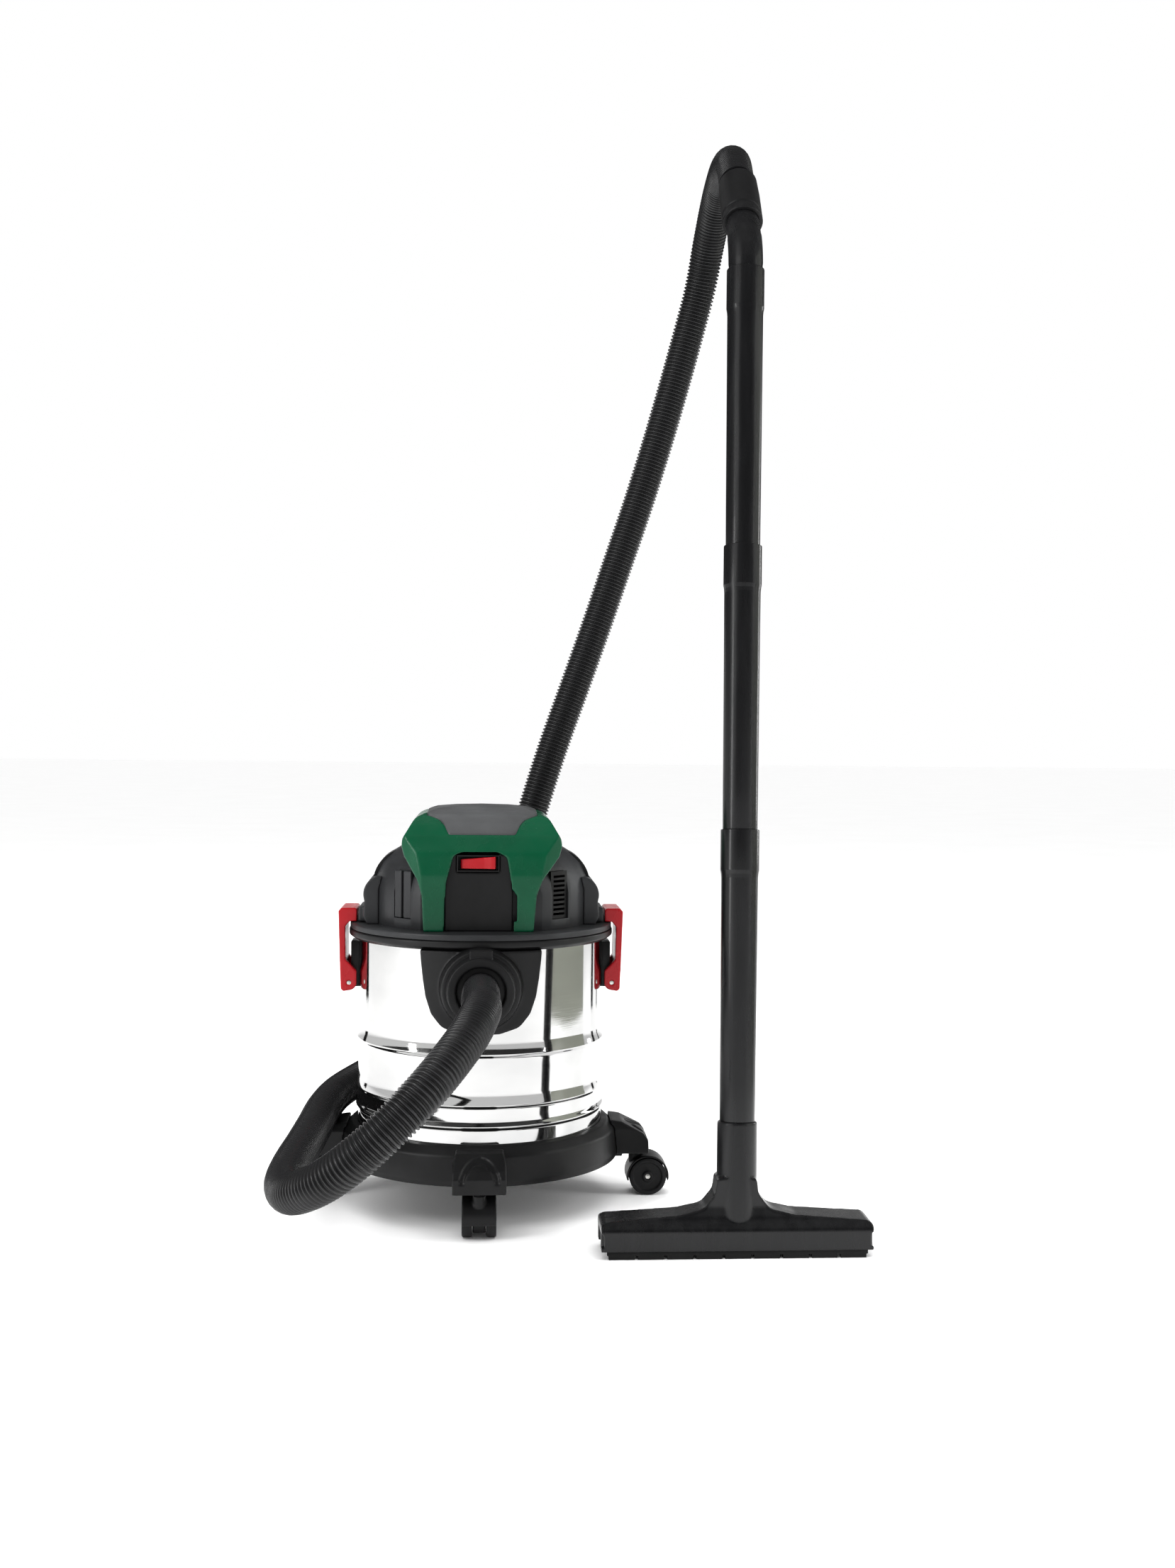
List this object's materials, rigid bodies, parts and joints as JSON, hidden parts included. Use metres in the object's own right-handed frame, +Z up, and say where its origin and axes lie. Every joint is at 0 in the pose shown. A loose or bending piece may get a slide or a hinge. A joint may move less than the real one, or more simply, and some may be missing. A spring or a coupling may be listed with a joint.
{
  "type": "shop vacuum",
  "caption": "Wet and dry shop vacuum: polished steel tank on swivel casters, lift-off motor head held by side latches, ribbed suction hose, upright tube wand and floor nozzle.",
  "frame": {"origin": "on the floor under the middle of the machine's bounding box, the free hose left out", "axes": "+Z up, -Y towards the front with the hose inlet and the switch, +X towards the wand"},
  "size_m": [0.614, 0.6699, 1.207],
  "materials": {
    "polished_steel": "mirror-polished stainless sheet",
    "black_plastic": "moulded black, fine texture",
    "anthracite_plastic": "moulded dark grey, fine texture",
    "grey_plastic": "moulded mid grey",
    "green_plastic": "glossy deep green",
    "red_plastic": "glossy red",
    "tube_plastic": "satin black, drawn along its length",
    "hose_plastic": "ribbed flexible black",
    "steel_pin": "zinc-plated steel",
    "wheel_plastic": "hard black tread",
    "black_rubber": "soft black seal",
    "filter_fabric": "pleated filter fleece",
    "float_plastic": "hollow float",
    "cast_aluminium": "die-cast",
    "motor_steel": "laminated steel stack"
  },
  "bodies": {
    "tank": {"tank": "polished_steel", "tank_collar": "black_plastic", "base_ring": "black_plastic", "base_screws": "steel_pin", "inlet_shield": "black_plastic", "inlet_gasket": "black_rubber", "inlet_deflector": "black_plastic", "latch_brackets": "black_plastic", "latch_pins": "steel_pin", "hose": "hose_plastic", "front_caster_bracket": "black_plastic", "left_caster_bracket": "black_plastic", "right_caster_bracket": "black_plastic", "rear_caster_bracket": "black_plastic"},
    "hose_connector": {"hose_connector": "black_plastic"},
    "latch_left": {"latch_left": "red_plastic"},
    "latch_right": {"latch_right": "red_plastic"},
    "front_caster": {"front_caster_fork": "black_plastic", "front_caster_axle": "steel_pin"},
    "front_wheels": {"front_caster_wheels": "wheel_plastic"},
    "left_caster": {"left_caster_fork": "black_plastic", "left_caster_axle": "steel_pin"},
    "left_wheels": {"left_caster_wheels": "wheel_plastic"},
    "right_caster": {"right_caster_fork": "black_plastic", "right_caster_axle": "steel_pin"},
    "right_wheels": {"right_caster_wheels": "wheel_plastic"},
    "rear_caster": {"rear_caster_fork": "black_plastic", "rear_caster_axle": "steel_pin"},
    "rear_wheels": {"rear_caster_wheels": "wheel_plastic"},
    "motor_head": {"head_base": "anthracite_plastic", "head_gasket": "black_rubber", "head_screws": "steel_pin", "motor_housing": "anthracite_plastic", "side_cover_left": "anthracite_plastic", "side_cover_right": "anthracite_plastic", "side_trims": "black_plastic", "green_cover": "green_plastic", "front_panel": "black_plastic", "top_cap": "grey_plastic", "vent_grilles": "anthracite_plastic", "blower_port": "black_plastic", "cable_gland": "black_plastic", "switch_housing": "black_plastic", "fan_case": "cast_aluminium", "motor_stator": "motor_steel", "motor_bearings": "cast_aluminium", "float_cage": "black_plastic", "filter_cartridge": "filter_fabric", "filter_cap": "black_plastic"},
    "rocker": {"rocker_switch": "red_plastic"},
    "rotor": {"motor_rotor": "motor_steel"},
    "float": {"float_ball": "float_plastic"},
    "wand": {"floor_nozzle": "tube_plastic", "nozzle_lips": "black_rubber", "lower_tube": "tube_plastic", "middle_tube": "tube_plastic", "upper_tube": "tube_plastic", "handle_tube": "tube_plastic", "hose_cuff": "tube_plastic"}
  },
  "joints": [
    {"name": "connector_twist", "type": "hinge", "parent": "tank", "child": "hose_connector", "pos_m": [-0.091, -0.133, 0.257], "axis": [0, 1, 0], "range_deg": [0, 30]},
    {"name": "latch_left_open", "type": "hinge", "parent": "tank", "child": "latch_left", "pos_m": [-0.2385, 0.017, 0.245], "axis": [0, -1, 0], "range_deg": [0, 60]},
    {"name": "latch_right_open", "type": "hinge", "parent": "tank", "child": "latch_right", "pos_m": [0.0565, 0.017, 0.245], "axis": [0, 1, 0], "range_deg": [0, 60]},
    {"name": "front_swivel", "type": "hinge", "parent": "tank", "child": "front_caster", "pos_m": [-0.091, -0.161, 0.05], "axis": [0, 0, 1], "continuous": true},
    {"name": "front_roll", "type": "hinge", "parent": "front_caster", "child": "front_wheels", "pos_m": [-0.091, -0.147, 0.021], "axis": [1, 0, 0], "continuous": true},
    {"name": "left_swivel", "type": "hinge", "parent": "tank", "child": "left_caster", "pos_m": [-0.269, 0.017, 0.05], "axis": [0, 0, 1], "continuous": true},
    {"name": "left_roll", "type": "hinge", "parent": "left_caster", "child": "left_wheels", "pos_m": [-0.283, 0.017, 0.021], "axis": [0, 1, 0], "continuous": true},
    {"name": "right_swivel", "type": "hinge", "parent": "tank", "child": "right_caster", "pos_m": [0.087, 0.017, 0.05], "axis": [0, 0, 1], "continuous": true},
    {"name": "right_roll", "type": "hinge", "parent": "right_caster", "child": "right_wheels", "pos_m": [0.101, 0.017, 0.021], "axis": [0, 1, 0], "continuous": true},
    {"name": "rear_swivel", "type": "hinge", "parent": "tank", "child": "rear_caster", "pos_m": [-0.091, 0.195, 0.05], "axis": [0, 0, 1], "continuous": true},
    {"name": "rear_roll", "type": "hinge", "parent": "rear_caster", "child": "rear_wheels", "pos_m": [-0.091, 0.209, 0.021], "axis": [1, 0, 0], "continuous": true},
    {"name": "head_lift", "type": "slide", "parent": "tank", "child": "motor_head", "axis": [0, 0, 1], "range_m": [0, 0.33]},
    {"name": "rocker_press", "type": "hinge", "parent": "motor_head", "child": "rocker", "pos_m": [-0.095, -0.087, 0.386], "axis": [0, 0, 1], "range_deg": [0, 12]},
    {"name": "rotor_spin", "type": "hinge", "parent": "motor_head", "child": "rotor", "pos_m": [-0.091, 0.017, 0.36], "axis": [0, 0, 1], "continuous": true},
    {"name": "float_rise", "type": "slide", "parent": "motor_head", "child": "float", "axis": [0, 0, 1], "range_m": [0, 0.04]},
    {"name": "wand_sweep", "type": "slide", "parent": "tank", "child": "wand", "axis": [0, 1, 0], "range_m": [-0.12, 0.05], "deforming": ["hose"]}
  ]
}
